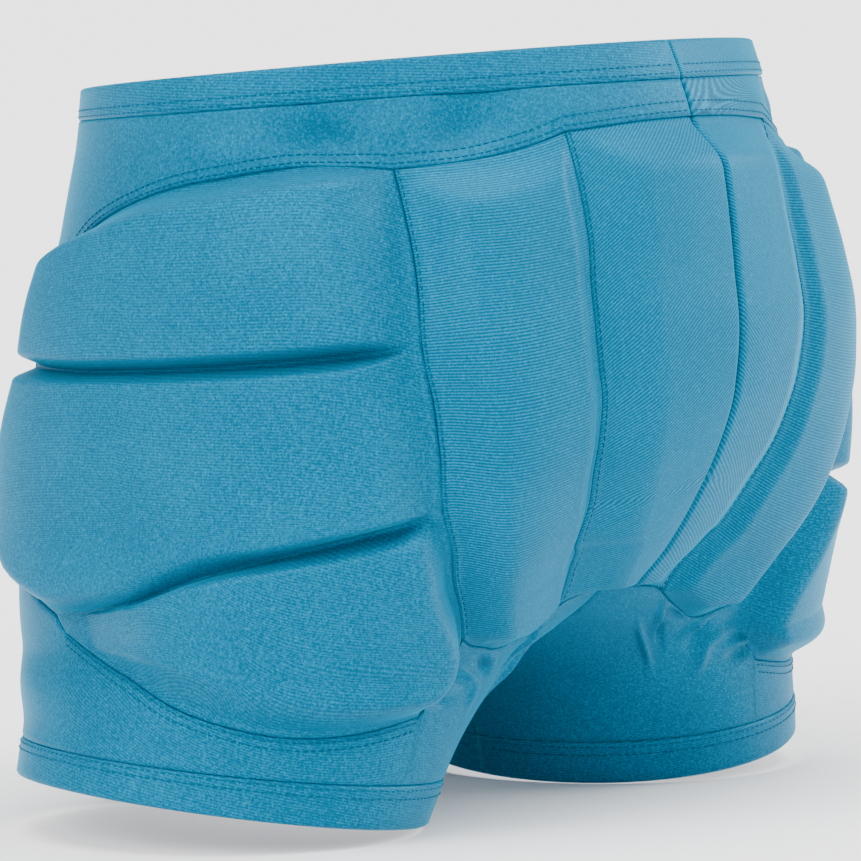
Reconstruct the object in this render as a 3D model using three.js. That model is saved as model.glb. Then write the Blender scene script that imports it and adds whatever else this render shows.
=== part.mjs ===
// Padded impact shorts: stretch covers moulded over foam pads on the hips and the seat.
// Millimetres. +Z is up, the wearer faces -Y, the wearer's left is +X.
// The origin is the centre of the waist opening.
import * as THREE from 'three';

// The form the shorts are cut to, from the waist down to the hem. Each level gives the depth
// below the waist, the centre of the leg, how far the outline reaches from that centre to the
// side, to the back and to the front, and how square its back and front are: 2 is round.
const LEVELS = [
  { depth: -10, centreX: 0, centreY: 0, side: 147, back: 121, backSquare: 1.86, front: 114, frontSquare: 2.05 },
  { depth: 5, centreX: 0, centreY: 0, side: 149, back: 127, backSquare: 1.86, front: 116, frontSquare: 2.05 },
  { depth: 30, centreX: 0, centreY: 0, side: 151, back: 139, backSquare: 1.88, front: 117, frontSquare: 2.1 },
  { depth: 48, centreX: 0, centreY: 0, side: 153, back: 144, backSquare: 2, front: 119, frontSquare: 2.15 },
  { depth: 65, centreX: 0, centreY: 0, side: 155, back: 147, backSquare: 2.15, front: 121, frontSquare: 2.2 },
  { depth: 85, centreX: 1, centreY: 0, side: 156, back: 149, backSquare: 2.3, front: 124, frontSquare: 2.3 },
  { depth: 105, centreX: 2, centreY: 0, side: 157, back: 151, backSquare: 2.38, front: 127, frontSquare: 2.4 },
  { depth: 125, centreX: 5, centreY: 0, side: 155, back: 149, backSquare: 2.42, front: 129, frontSquare: 2.45 },
  { depth: 145, centreX: 13, centreY: 0, side: 149, back: 142, backSquare: 2.45, front: 130, frontSquare: 2.45 },
  { depth: 165, centreX: 25, centreY: 0, side: 139, back: 131, backSquare: 2.5, front: 129, frontSquare: 2.45 },
  { depth: 185, centreX: 39, centreY: 0, side: 127, back: 118, backSquare: 2.55, front: 127, frontSquare: 2.4 },
  { depth: 200, centreX: 52, centreY: 0, side: 117, back: 106, backSquare: 2.55, front: 125, frontSquare: 2.3 },
  { depth: 215, centreX: 64, centreY: 0, side: 107, back: 97, backSquare: 2.5, front: 121, frontSquare: 2.25 },
  { depth: 225, centreX: 74, centreY: 0, side: 98, back: 92, backSquare: 2.4, front: 117, frontSquare: 2.2 },
  { depth: 235, centreX: 85, centreY: -1, side: 90, back: 88, backSquare: 2.25, front: 110, frontSquare: 2.1 },
  { depth: 250, centreX: 100, centreY: -2, side: 82, back: 87, backSquare: 2.1, front: 100, frontSquare: 2.05 },
  { depth: 270, centreX: 111, centreY: -4, side: 76, back: 85, backSquare: 2, front: 88, frontSquare: 2 },
  { depth: 300, centreX: 122, centreY: -7, side: 73, back: 81, backSquare: 2, front: 80, frontSquare: 2 },
  { depth: 320, centreX: 128, centreY: -8, side: 71, back: 79, backSquare: 2, front: 78, frontSquare: 2 },
];
const CENTRE_BLEND_WIDTH = 30;
const WAIST_RISE_TO_BACK = 0.085;
const WAIST_RISE_ENDS_AT = 70;
const HEM_RISE_TO_SIDE = 0.13;
const HEM_RISE_TO_FRONT = 0.07;
const HEM_RISE_STARTS_AT = 225;
const HEM_RISE_FULL_AT = 300;

// Cloth and foam.
const LINING_THICKNESS = 1;
const COVER_THICKNESS = 1.2;
const BAND_THICKNESS = 2.2;
const LAYER_GAP = 0.3;
const HIP_PAD_THICKNESS = 18;
const OUTER_SEAT_PAD_THICKNESS = 11;
const INNER_SEAT_PAD_THICKNESS = 12;
const PAD_EDGE_THICKNESS = 3;
const SIDE_BEVEL = 18;
const TOP_BEVEL = 11;
const LOW_BEVEL = 10;
const LOWER_PAD_BEVEL = 12;
const GROOVE_BEVEL = 8;
const SEAM_GAP = 1.2;
const LINING_INSET = 2.5;
const CENTRE_GAP = 0.6;

// Edges of the bands, as depth below the waist.
const WAIST_EDGE_DEPTH = 5;
const WAIST_SEAM_DEPTH = 19;
const HEM_SEAM_DEPTH = 275;
const HEM_EDGE_DEPTH = 291;

// Seams on the wearer's left. Each point is the turn around the leg in degrees, from 0 at the
// side to 90 at the back and -90 at the front, and the depth below the waist.
const HIP_FRONT_TOP = [-30, 88];
const HIP_FRONT_MIDDLE = [-38, 121];
const FRONT_CORNER = [-46, 190];
const HIP_LOW_CORNER = [-21, 216];
const LEG_BACK_CORNER = [87, 251.5];
const HIP_BACK_TOP = [39, 43];
const HIP_BACK_FIRST_GROOVE = [42, 107.5];
const HIP_BACK_SECOND_GROOVE = [55, 170.5];
const SEAT_LOW_CORNER = [84, 223.5];
const SEAT_SEAM_TOP = [65, 33.5];
const SEAT_SEAM_LOW = [102.5, 216.5];
const YOKE_OVER_SEAT = [78.5, 31.5];
const SEAT_END = [104.5, 213];
const INSIDE_LEG = 179.6;
const YOKE_CENTRE_DEPTH = 31;
const SEAT_CENTRE_LOW_DEPTH = 209;
const FRONT_CENTRE_LOW_DEPTH = 216;
const YOKE_OVER_HIP = [HIP_FRONT_TOP, [-18, 66], [0, 49.5], [13.5, 44], [27, 41], HIP_BACK_TOP];
const YOKE_OVER_OUTER_SEAT = [HIP_BACK_TOP, [50.5, 41], [59, 37.5], SEAT_SEAM_TOP];
const HIP_FRONT_UPPER = [HIP_FRONT_TOP, [-35, 104], HIP_FRONT_MIDDLE];
const HIP_FRONT_LOWER = [HIP_FRONT_MIDDLE, [-43, 145], [-46.5, 170], FRONT_CORNER];
const HIP_FRONT_TURN = [FRONT_CORNER, [-40, 203], HIP_LOW_CORNER];
const FIRST_GROOVE = [HIP_FRONT_MIDDLE, [-10.5, 120], [9, 116], [28, 111.5], HIP_BACK_FIRST_GROOVE];
const SECOND_GROOVE = [HIP_LOW_CORNER, [-3, 210], [12, 197], [31, 185], HIP_BACK_SECOND_GROOVE];
const LOWER_SEAM = [[-17.5, 223], [-1, 237], [20.5, 250.5], [45.5, 258], [67.5, 257], LEG_BACK_CORNER];
const HIP_BACK_UPPER = [HIP_BACK_TOP, [40.5, 65], [41.5, 85], HIP_BACK_FIRST_GROOVE];
const HIP_BACK_MIDDLE = [HIP_BACK_FIRST_GROOVE, [44.5, 127], [49, 149], HIP_BACK_SECOND_GROOVE];
const HIP_BACK_LOWER = [HIP_BACK_SECOND_GROOVE, [65, 191], [75.5, 208.5], SEAT_LOW_CORNER];
const HIP_BACK_END = [SEAT_LOW_CORNER, [89.5, 238], LEG_BACK_CORNER];
const SEAT_SEAM = [SEAT_SEAM_TOP, [68.5, 69], [71, 113], [77.5, 149], [85, 173], [92, 196], SEAT_SEAM_LOW];
const OUTER_SEAT_END = [SEAT_LOW_CORNER, [89, 227], [99, 229], SEAT_SEAM_LOW];

// Where the panels are divided, as shares of their width and height.
const HIP_COLUMNS = [0, 0.05, 0.11, 0.18, 0.26, 0.35, 0.45, 0.55, 0.65, 0.74, 0.82, 0.88, 0.94, 1];
const HIP_UPPER_ROWS = [0, 0.06, 0.15, 0.27, 0.5, 0.75, 0.88, 0.97, 1];
const HIP_MIDDLE_ROWS = [0, 0.03, 0.12, 0.3, 0.5, 0.7, 0.88, 0.97, 1];
const HIP_LOWER_ROWS = [0, 0.03, 0.12, 0.3, 0.48, 0.62, 0.78, 0.9, 1];
const HIP_FRONT_LOWER_STOPS = [0, 0.04, 0.17, 0.4, 0.64, 0.86, 1];
const HIP_BACK_LOWER_STOPS = [0, 0.05, 0.2, 0.48, 0.8, 1];
const FRONT_CORNER_STOPS = [0, 0.6, 1];
const BACK_CORNER_STOPS = [0, 0.47, 0.87, 1];
const LOWER_PAD_STARTS_AT_COLUMN = 3;
const LOWER_PAD_ENDS_AT_COLUMN = 10;
const OUTER_SEAT_COLUMNS = [0, 0.08, 0.22, 0.36, 0.56, 0.76, 0.9, 0.97, 1];
const INNER_SEAT_COLUMNS = [0, 0.05, 0.2, 0.38, 0.54, 0.68, 0.82, 0.94, 1];
const SEAT_ROWS = [0, 0.04, 0.1, 0.18, 0.28, 0.38, 0.48, 0.58, 0.68, 0.77, 0.85, 0.92, 0.97, 1];
const CENTRE_STEPS = 5;
const WAIST_STEPS = 20;
const YOKE_ROWS = 5;
const LEG_ROWS = 5;
const LEG_EVENING = 0.3;
const HEM_STEPS = 28;
const CROTCH_STEPS = 4;
const DEGREE = Math.PI / 180;
const MM_PER_DEGREE = 2.8;
const CLOTH_HEIGHT = LINING_THICKNESS + 2 * LAYER_GAP;
const PAD_HEIGHT = LINING_THICKNESS + LAYER_GAP;

/** Smooth step from 0 to 1 as the value goes from one end to the other, either way round. */
const smooth = (from, to, value) => THREE.MathUtils.smoothstep((value - from) / (to - from), 0, 1);

/** Smooth value of one column of LEVELS at a depth, without overshoot between the levels. */
function atDepth(key, depth) {
  const slope = (i) => (LEVELS[i + 1][key] - LEVELS[i][key]) / (LEVELS[i + 1].depth - LEVELS[i].depth);
  const tangent = (i) => {
    if (i === 0) return slope(0);
    if (i === LEVELS.length - 1) return slope(i - 1);
    const before = slope(i - 1);
    const after = slope(i);
    return before * after <= 0 ? 0 : (2 * before * after) / (before + after);
  };
  let i = 0;
  while (i < LEVELS.length - 2 && depth > LEVELS[i + 1].depth) i += 1;
  const width = LEVELS[i + 1].depth - LEVELS[i].depth;
  const t = (depth - LEVELS[i].depth) / width;
  const t2 = t * t;
  const t3 = t2 * t;
  return (2 * t3 - 3 * t2 + 1) * LEVELS[i][key] + (t3 - 2 * t2 + t) * width * tangent(i)
    + (3 * t2 - 2 * t3) * LEVELS[i + 1][key] + (t3 - t2) * width * tangent(i + 1);
}

/** Point of the form on the wearer's left, at a turn in degrees and a depth. */
function formPoint(turn, depth) {
  const across = Math.cos(turn * DEGREE);
  const along = Math.sin(turn * DEGREE);
  const frontShare = smooth(0.3, -0.3, along);
  const power = 2 / THREE.MathUtils.lerp(atDepth('backSquare', depth), atDepth('frontSquare', depth), frontShare);
  const reach = along > 0 ? atDepth('back', depth) : atDepth('front', depth);
  const offsetX = atDepth('side', depth) * Math.sign(across) * Math.abs(across) ** power;
  const offsetY = reach * Math.sign(along) * Math.abs(along) ** power;
  const y = atDepth('centreY', depth) + offsetY;
  const waistRise = WAIST_RISE_TO_BACK * (1 - smooth(0, WAIST_RISE_ENDS_AT, depth)) * y;
  const hemShare = smooth(HEM_RISE_STARTS_AT, HEM_RISE_FULL_AT, depth);
  const hemRise = hemShare * (HEM_RISE_TO_SIDE * offsetX - HEM_RISE_TO_FRONT * offsetY);
  const z = WAIST_EDGE_DEPTH - depth + waistRise + hemRise;
  return new THREE.Vector3(atDepth('centreX', depth) + offsetX, y, z);
}

/** Point at a height above the form, measured square to it and, by the centre seam, straight back. */
function layerPoint(turn, depth, height) {
  const step = 0.2;
  const aroundForm = formPoint(turn + step, depth).sub(formPoint(turn - step, depth));
  const downForm = formPoint(turn, depth + step).sub(formPoint(turn, depth - step));
  const outward = downForm.cross(aroundForm).normalize();
  const point = formPoint(turn, depth);
  const facingBack = smooth(0, 0.3, outward.y);
  outward.x *= THREE.MathUtils.lerp(1, smooth(0, CENTRE_BLEND_WIDTH, point.x), facingBack);
  return point.addScaledVector(outward.normalize(), height);
}

/** Turn at which the cloth reaches the centre seam at a depth; side is 1 at the back, -1 at the front. */
function centreTurn(depth, side) {
  let near = 60;
  let far = 180;
  for (let i = 0; i < 40; i += 1) {
    const middle = (near + far) / 2;
    const reach = layerPoint(side * middle, depth, CLOTH_HEIGHT + COVER_THICKNESS).x;
    if (reach > CENTRE_GAP / 2) near = middle;
    else far = middle;
  }
  return side * near;
}

/** Places along the crotch between two turns, where the left leg meets the right one. */
function crotchEdge(fromTurn, toTurn) {
  return evenly(CROTCH_STEPS).map((share) => {
    const turn = THREE.MathUtils.lerp(fromTurn, toTurn, share);
    let upper = SEAT_CENTRE_LOW_DEPTH - SEAM_GAP;
    let lower = HEM_SEAM_DEPTH;
    for (let i = 0; i < 40; i += 1) {
      const middle = (upper + lower) / 2;
      const reach = layerPoint(turn, middle, CLOTH_HEIGHT + COVER_THICKNESS).x;
      if (reach > CENTRE_GAP / 2) lower = middle;
      else upper = middle;
    }
    return [turn, lower];
  });
}

/** Places along a smooth seam through the given places, at the given shares of its length. */
function along(seam, shares) {
  const points = seam.map(([turn, depth]) => new THREE.Vector2(turn * MM_PER_DEGREE, depth));
  const line = points.length === 2 ? new THREE.LineCurve(...points) : new THREE.SplineCurve(points);
  const places = shares.map((share) => line.getPointAt(share));
  return places.map((p) => [p.x / MM_PER_DEGREE, p.y]);
}

/** Lists of places joined end to end, without the doubled ends. */
function join(...lists) {
  return lists.reduce((all, list) => [...all, ...list.slice(1)]);
}

/** Even shares from 0 to 1. */
const evenly = (steps) => Array.from({ length: steps + 1 }, (_, i) => i / steps);

/** The same seam run the other way. */
const reversed = (list) => [...list].reverse();

/** The centre seam between two depths; side is 1 at the back, -1 at the front. */
function centreSeam(fromDepth, toDepth, shares, side) {
  return shares.map((share) => {
    const depth = THREE.MathUtils.lerp(fromDepth, toDepth, share);
    return [centreTurn(depth, side), depth];
  });
}

/** Grid of places that fills the space between four edges; rows run from top to bottom. */
function fill(top, bottom, front, back, columnShares, rowShares) {
  const columns = top.length - 1;
  const rows = front.length - 1;
  const grid = [];
  for (let j = 0; j <= rows; j += 1) {
    const v = rowShares[j];
    grid.push([]);
    for (let i = 0; i <= columns; i += 1) {
      const u = columnShares[i];
      const value = (k) => (1 - v) * top[i][k] + v * bottom[i][k]
        + (1 - u) * front[j][k] + u * back[j][k]
        - (1 - u) * (1 - v) * top[0][k] - u * (1 - v) * top[columns][k]
        - (1 - u) * v * bottom[0][k] - u * v * bottom[columns][k];
      grid[j].push([value(0), value(1)]);
    }
  }
  return grid;
}

/** Grid of places between two edges that are matched place by place. */
function between(top, bottom, rows) {
  const mix = (a, b, v) => [THREE.MathUtils.lerp(a[0], b[0], v), THREE.MathUtils.lerp(a[1], b[1], v)];
  const grid = [];
  for (let j = 0; j <= rows; j += 1) grid.push(top.map((place, i) => mix(place, bottom[i], j / rows)));
  return grid;
}

/** Distance between two places on the form, mm. */
function span(a, b) {
  return formPoint(...a).distanceTo(formPoint(...b));
}

/** The grid with its outer places drawn in by half a seam gap on each side. */
function drawnIn(grid, gap = SEAM_GAP / 2) {
  const pull = (edge, inner) => {
    const share = gap / Math.max(span(edge, inner), gap * 2);
    return [THREE.MathUtils.lerp(edge[0], inner[0], share), THREE.MathUtils.lerp(edge[1], inner[1], share)];
  };
  const rows = grid.length - 1;
  const columns = grid[0].length - 1;
  const result = grid.map((row) => row.map((place) => [...place]));
  for (let i = 0; i <= columns; i += 1) {
    result[0][i] = pull(grid[0][i], grid[1][i]);
    result[rows][i] = pull(grid[rows][i], grid[rows - 1][i]);
  }
  for (let j = 0; j <= rows; j += 1) {
    result[j][0] = pull(result[j][0], result[j][1]);
    result[j][columns] = pull(result[j][columns], result[j][columns - 1]);
  }
  return result;
}

/** Closed layer over a grid of places; low and high give its two heights above the form. */
function layer(grid, low, high) {
  const rows = grid.length;
  const columns = grid[0].length;
  const positions = [];
  const faces = [];
  const index = (side, j, i) => (side * rows + j) * columns + i;
  for (const height of [low, high]) {
    grid.forEach((row, j) => row.forEach((place, i) => {
      positions.push(...layerPoint(place[0], place[1], height(j, i)).toArray());
    }));
  }
  for (let j = 0; j < rows - 1; j += 1) {
    for (let i = 0; i < columns - 1; i += 1) {
      const corners = (s) => [index(s, j, i), index(s, j + 1, i), index(s, j + 1, i + 1), index(s, j, i + 1)];
      const [a, b, c, d] = corners(1);
      const [e, f, g, h] = corners(0);
      faces.push(a, b, c, a, c, d, e, g, f, e, h, g);
    }
  }
  const rim = [];
  for (let i = 0; i < columns - 1; i += 1) rim.push([0, i]);
  for (let j = 0; j < rows - 1; j += 1) rim.push([j, columns - 1]);
  for (let i = columns - 1; i > 0; i -= 1) rim.push([rows - 1, i]);
  for (let j = rows - 1; j > 0; j -= 1) rim.push([j, 0]);
  rim.forEach(([j, i], k) => {
    const [nextJ, nextI] = rim[(k + 1) % rim.length];
    const lowA = index(0, j, i);
    const lowB = index(0, nextJ, nextI);
    const highA = index(1, j, i);
    const highB = index(1, nextJ, nextI);
    faces.push(lowA, highA, highB, lowA, highB, lowB);
  });
  const geometry = new THREE.BufferGeometry();
  geometry.setAttribute('position', new THREE.Float32BufferAttribute(positions, 3));
  geometry.setIndex(faces);
  return geometry;
}

/** The same piece for the wearer's right. */
function mirrored(geometry) {
  const copy = geometry.clone();
  copy.scale(-1, 1, 1);
  const faces = copy.getIndex();
  for (let i = 0; i < faces.count; i += 3) {
    const second = faces.getX(i + 1);
    faces.setX(i + 1, faces.getX(i + 2));
    faces.setX(i + 2, second);
  }
  return copy;
}

/** Pad thickness over a block of a grid: thin at its edges, full inside its bevels. */
function padProfile(grid, pad) {
  const distance = (a, b) => span(grid[a[0]][a[1]], grid[b[0]][b[1]]);
  const [top, front] = pad.first;
  const [bottom, back] = pad.last;
  return (j, column) => {
    const i = pad.meetsCentre ? Math.min(column, back) : column;
    if (j < top || j > bottom || i < front || i > back) return 0;
    const full = Math.min(
      smooth(0, pad.bevels.top, distance([j, i], [top, i])),
      smooth(0, pad.bevels.bottom, distance([j, i], [bottom, i])),
      smooth(0, pad.bevels.side, distance([j, i], [j, front])),
      pad.meetsCentre ? 1 : smooth(0, pad.bevels.side, distance([j, i], [j, back])),
    );
    return THREE.MathUtils.lerp(PAD_EDGE_THICKNESS, pad.thickness, Math.sqrt(full));
  };
}

/** Part of a grid between two of its places. */
function block(grid, first, last) {
  return grid.slice(first[0], last[0] + 1).map((row) => row.slice(first[1], last[1] + 1));
}

const covers = new THREE.MeshStandardMaterial({ color: 0x1aa9d6, roughness: 0.42, metalness: 0 });
const linings = new THREE.MeshStandardMaterial({ color: 0x0f6fae, roughness: 0.7, metalness: 0 });
const foam = new THREE.MeshStandardMaterial({ color: 0xe9e6dc, roughness: 0.9, metalness: 0 });

const flat = (height) => () => height;

const shorts = new THREE.Group();
shorts.name = 'padded_impact_shorts';

/** Adds the left piece and its mirrored right twin. */
function addPair(name, geometry, material) {
  const pieces = { left: geometry, right: mirrored(geometry) };
  for (const [side, shape] of Object.entries(pieces)) {
    shape.computeVertexNormals();
    const mesh = new THREE.Mesh(shape, material);
    mesh.name = `${name}_${side}`;
    shorts.add(mesh);
  }
}

/** Adds a panel of plain cloth. */
function addCloth(name, grid, low = CLOTH_HEIGHT, thickness = COVER_THICKNESS) {
  addPair(name, layer(drawnIn(grid), flat(low), flat(low + thickness)), covers);
}

/** Adds a cover, the pads under it and the lining behind them. */
function addPadded(coverName, grid, pads) {
  const profiles = pads.map((pad) => padProfile(grid, pad));
  const foamHeight = (j, i) => Math.max(...profiles.map((profile) => profile(j, i)));
  const coverLow = (j, i) => CLOTH_HEIGHT + foamHeight(j, i);
  const coverHigh = (j, i) => coverLow(j, i) + COVER_THICKNESS;
  addPair(coverName, layer(drawnIn(grid), coverLow, coverHigh), covers);
  pads.forEach((pad, k) => {
    const [row, column] = pad.first;
    const top = (j, i) => PAD_HEIGHT + profiles[k](j + row, i + column);
    addPair(pad.name, layer(block(grid, pad.first, pad.last), flat(PAD_HEIGHT), top), foam);
  });
}

// Seams of the left side. Those with a tight bend are divided once for both panels.
const firstGroove = along(FIRST_GROOVE, HIP_COLUMNS);
const secondGroove = along(SECOND_GROOVE, HIP_COLUMNS);
const lowerSeam = along(LOWER_SEAM, HIP_COLUMNS);
const hipFrontEnd = along([HIP_LOW_CORNER, LOWER_SEAM[0]], HIP_LOWER_ROWS);
const hipFrontTurn = along(HIP_FRONT_TURN, FRONT_CORNER_STOPS);
const hipBackEnd = along(HIP_BACK_END, BACK_CORNER_STOPS);
const hipBackLower = join(along(HIP_BACK_LOWER, HIP_BACK_LOWER_STOPS), hipBackEnd);
const hipFrontLower = join(along(HIP_FRONT_LOWER, HIP_FRONT_LOWER_STOPS), hipFrontTurn);
const seatSeam = along(SEAT_SEAM, SEAT_ROWS);
const seatCentre = centreSeam(YOKE_CENTRE_DEPTH, SEAT_CENTRE_LOW_DEPTH, SEAT_ROWS, 1);
const outerSeatEnd = along(OUTER_SEAT_END, OUTER_SEAT_COLUMNS);
const innerSeatEnd = along([SEAT_SEAM_LOW, SEAT_END, seatCentre.at(-1)], INNER_SEAT_COLUMNS);
const yokeOverInnerSeat = along([SEAT_SEAM_TOP, YOKE_OVER_SEAT, seatCentre[0]], INNER_SEAT_COLUMNS);

// Hip: three blocks, one under the other, each with its own pad.
const hipBlocks = [
  fill(
    along(YOKE_OVER_HIP, HIP_COLUMNS),
    firstGroove,
    along(HIP_FRONT_UPPER, HIP_UPPER_ROWS),
    along(HIP_BACK_UPPER, HIP_UPPER_ROWS),
    HIP_COLUMNS,
    HIP_UPPER_ROWS,
  ),
  fill(
    firstGroove,
    secondGroove,
    hipFrontLower,
    along(HIP_BACK_MIDDLE, HIP_MIDDLE_ROWS),
    HIP_COLUMNS,
    HIP_MIDDLE_ROWS,
  ),
  fill(secondGroove, lowerSeam, hipFrontEnd, hipBackLower, HIP_COLUMNS, HIP_LOWER_ROWS),
];
const hipGrid = join(...hipBlocks);
const lastColumn = HIP_COLUMNS.length - 2;
const middleStart = HIP_UPPER_ROWS.length - 1;
const lowerStart = middleStart + HIP_MIDDLE_ROWS.length - 1;
const lowerEnd = lowerStart + HIP_LOWER_ROWS.length - 1;
addPadded('hip_cover', hipGrid, [
  {
    name: 'hip_pad_upper',
    first: [1, 2],
    last: [middleStart - 1, lastColumn],
    bevels: { top: TOP_BEVEL, bottom: GROOVE_BEVEL, side: SIDE_BEVEL },
    thickness: HIP_PAD_THICKNESS,
  },
  {
    name: 'hip_pad_middle',
    first: [middleStart + 1, 2],
    last: [lowerStart - 1, lastColumn],
    bevels: { top: GROOVE_BEVEL, bottom: GROOVE_BEVEL, side: SIDE_BEVEL },
    thickness: HIP_PAD_THICKNESS,
  },
  {
    name: 'hip_pad_lower',
    first: [lowerStart + 1, LOWER_PAD_STARTS_AT_COLUMN],
    last: [lowerEnd - 1, LOWER_PAD_ENDS_AT_COLUMN],
    bevels: { top: GROOVE_BEVEL, bottom: LOW_BEVEL, side: LOWER_PAD_BEVEL },
    thickness: HIP_PAD_THICKNESS,
  },
]);
addPair('hip_lining', layer(drawnIn(hipGrid, LINING_INSET), flat(0), flat(LINING_THICKNESS)), linings);

// Seat: an outer and an inner petal on each side of the centre-back seam.
const hipBackSeam = [...HIP_BACK_UPPER, ...HIP_BACK_MIDDLE.slice(1), ...HIP_BACK_LOWER.slice(1)];
const outerSeatGrid = fill(
  along(YOKE_OVER_OUTER_SEAT, OUTER_SEAT_COLUMNS),
  outerSeatEnd,
  along(hipBackSeam, SEAT_ROWS),
  seatSeam,
  OUTER_SEAT_COLUMNS,
  SEAT_ROWS,
);
const innerSeatGrid = fill(
  yokeOverInnerSeat,
  innerSeatEnd,
  seatSeam,
  seatCentre,
  INNER_SEAT_COLUMNS,
  SEAT_ROWS,
);
const seatPad = (name, thickness, columns, meetsCentre) => ({
  name,
  meetsCentre,
  first: [1, 1],
  last: [SEAT_ROWS.length - 2, columns.length - 2],
  bevels: { top: TOP_BEVEL, bottom: LOW_BEVEL, side: SIDE_BEVEL },
  thickness,
});
addPadded('outer_seat_cover', outerSeatGrid, [
  seatPad('outer_seat_pad', OUTER_SEAT_PAD_THICKNESS, OUTER_SEAT_COLUMNS, false),
]);
addPadded('inner_seat_cover', innerSeatGrid, [
  seatPad('inner_seat_pad', INNER_SEAT_PAD_THICKNESS, INNER_SEAT_COLUMNS, true),
]);
const seatGrid = outerSeatGrid.map((row, j) => join(row, innerSeatGrid[j]));
addPair('seat_lining', layer(drawnIn(seatGrid, LINING_INSET), flat(0), flat(LINING_THICKNESS)), linings);

// Yoke: from the centre-front seam, round the side and to the centre-back seam.
const frontCentre = centreSeam(FRONT_CENTRE_LOW_DEPTH, WAIST_SEAM_DEPTH, evenly(CENTRE_STEPS + 2), -1);
const waistSeam = along([
  [centreTurn(WAIST_SEAM_DEPTH, -1), WAIST_SEAM_DEPTH],
  [centreTurn(WAIST_SEAM_DEPTH, 1), WAIST_SEAM_DEPTH],
], evenly(WAIST_STEPS));
const yokeInnerEdge = join(
  along(reversed(HIP_FRONT_LOWER), evenly(CENTRE_STEPS)),
  along(reversed(HIP_FRONT_UPPER), evenly(4)),
  along(YOKE_OVER_HIP, evenly(9)),
  along(YOKE_OVER_OUTER_SEAT, evenly(4)),
  along([SEAT_SEAM_TOP, YOKE_OVER_SEAT, seatCentre[0]], evenly(5)),
);
addCloth('yoke', between(join(frontCentre, waistSeam), yokeInnerEdge, YOKE_ROWS));

// Waistband: the turned-over edge above the yoke.
const waistEdge = waistSeam.map(([turn]) => [turn, WAIST_EDGE_DEPTH]);
addCloth('waistband', between(waistEdge, waistSeam, 1), LINING_THICKNESS, BAND_THICKNESS);

// Leg panel: a tube from the lower seams to the hem, open along the inside leg.
const legTop = join(
  crotchEdge(-INSIDE_LEG, frontCentre[0][0]),
  along([frontCentre[0], FRONT_CORNER], evenly(5)),
  hipFrontTurn,
  [HIP_LOW_CORNER, ...lowerSeam],
  reversed(hipBackEnd),
  outerSeatEnd,
  innerSeatEnd,
  crotchEdge(seatCentre.at(-1)[0], INSIDE_LEG),
);
const legBottom = legTop.map(([turn], i) => {
  const even = THREE.MathUtils.lerp(-INSIDE_LEG, INSIDE_LEG, i / (legTop.length - 1));
  return [THREE.MathUtils.lerp(turn, even, LEG_EVENING), HEM_SEAM_DEPTH];
});
addCloth('leg_panel', between(legTop, legBottom, LEG_ROWS));

// Leg hem: the turned-up edge of the leg.
const hemSeam = along([[-INSIDE_LEG, HEM_SEAM_DEPTH], [INSIDE_LEG, HEM_SEAM_DEPTH]], evenly(HEM_STEPS));
const hemEdge = hemSeam.map(([turn]) => [turn, HEM_EDGE_DEPTH]);
addCloth('leg_hem', between(hemSeam, hemEdge, 1), LINING_THICKNESS, BAND_THICKNESS);

export default shorts;
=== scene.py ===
"""Padded impact shorts: stretch panels moulded over foam pads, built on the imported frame.

Sizes are in millimetres until a mesh is made. +Z is up, the wearer faces -Y and the wearer's
left is +X. The origin is the centre of the waist opening.
"""

import logging
import math
from dataclasses import dataclass, field, replace
from enum import Enum

import bpy
import numpy as np
from mathutils import Matrix, Vector


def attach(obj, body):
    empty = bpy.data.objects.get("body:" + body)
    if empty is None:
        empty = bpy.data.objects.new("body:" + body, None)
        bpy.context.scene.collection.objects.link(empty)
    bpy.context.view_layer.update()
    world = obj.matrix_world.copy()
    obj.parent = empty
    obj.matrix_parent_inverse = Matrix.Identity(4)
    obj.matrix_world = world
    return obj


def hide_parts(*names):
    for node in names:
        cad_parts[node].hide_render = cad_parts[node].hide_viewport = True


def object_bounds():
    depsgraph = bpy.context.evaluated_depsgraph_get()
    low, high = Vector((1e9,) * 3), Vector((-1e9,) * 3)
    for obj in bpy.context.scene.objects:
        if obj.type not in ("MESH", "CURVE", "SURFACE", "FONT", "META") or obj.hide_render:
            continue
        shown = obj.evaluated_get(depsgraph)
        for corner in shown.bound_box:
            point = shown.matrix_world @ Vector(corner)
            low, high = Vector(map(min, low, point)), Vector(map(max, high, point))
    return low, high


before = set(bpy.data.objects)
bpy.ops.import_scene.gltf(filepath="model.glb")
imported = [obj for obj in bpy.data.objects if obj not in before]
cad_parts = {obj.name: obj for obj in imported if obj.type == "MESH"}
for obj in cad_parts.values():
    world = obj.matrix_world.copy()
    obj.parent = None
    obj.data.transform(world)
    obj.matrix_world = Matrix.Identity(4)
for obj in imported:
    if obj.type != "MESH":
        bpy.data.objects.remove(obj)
CAD_LOW, CAD_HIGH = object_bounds()

log = logging.getLogger("padded_shorts")

Array = np.ndarray
Place = tuple[float, float]
Heights = Array | float

MM = 0.001
MM_PER_DEGREE = 2.8
LINING = 1.0
COVER = 1.2
BAND = 2.2
GAP = 0.3
CLOTH_LOW = LINING + 2 * GAP
CLOTH_HIGH = CLOTH_LOW + COVER
CENTRE_GAP = 0.6
CENTRE_BLEND = 30.0
SEAM_GAP = 0.3
CREST_BLEND = 0.3
BLUR_ROUNDS = 2
PAD_INSET_ROWS = 3
PAD_INSET_COLUMNS = 4
PAD_SLACK = 0.8
PAD_LEAST = 0.4

STITCH_PROFILE = ((-0.5, 0.08), (-0.42, 0.2), (-0.2, 0.27), (0.2, 0.27), (0.42, 0.2), (0.5, 0.08))
STITCH_SIDES = 6
STITCH_RISE = 0.16
STITCH_BOW = 0.5

SHINE = (0.0, 0.62, 0.95, 1.0)


class Side(Enum):
    """Which half of the shorts a piece belongs to."""

    LEFT = "left"
    RIGHT = "right"


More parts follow.
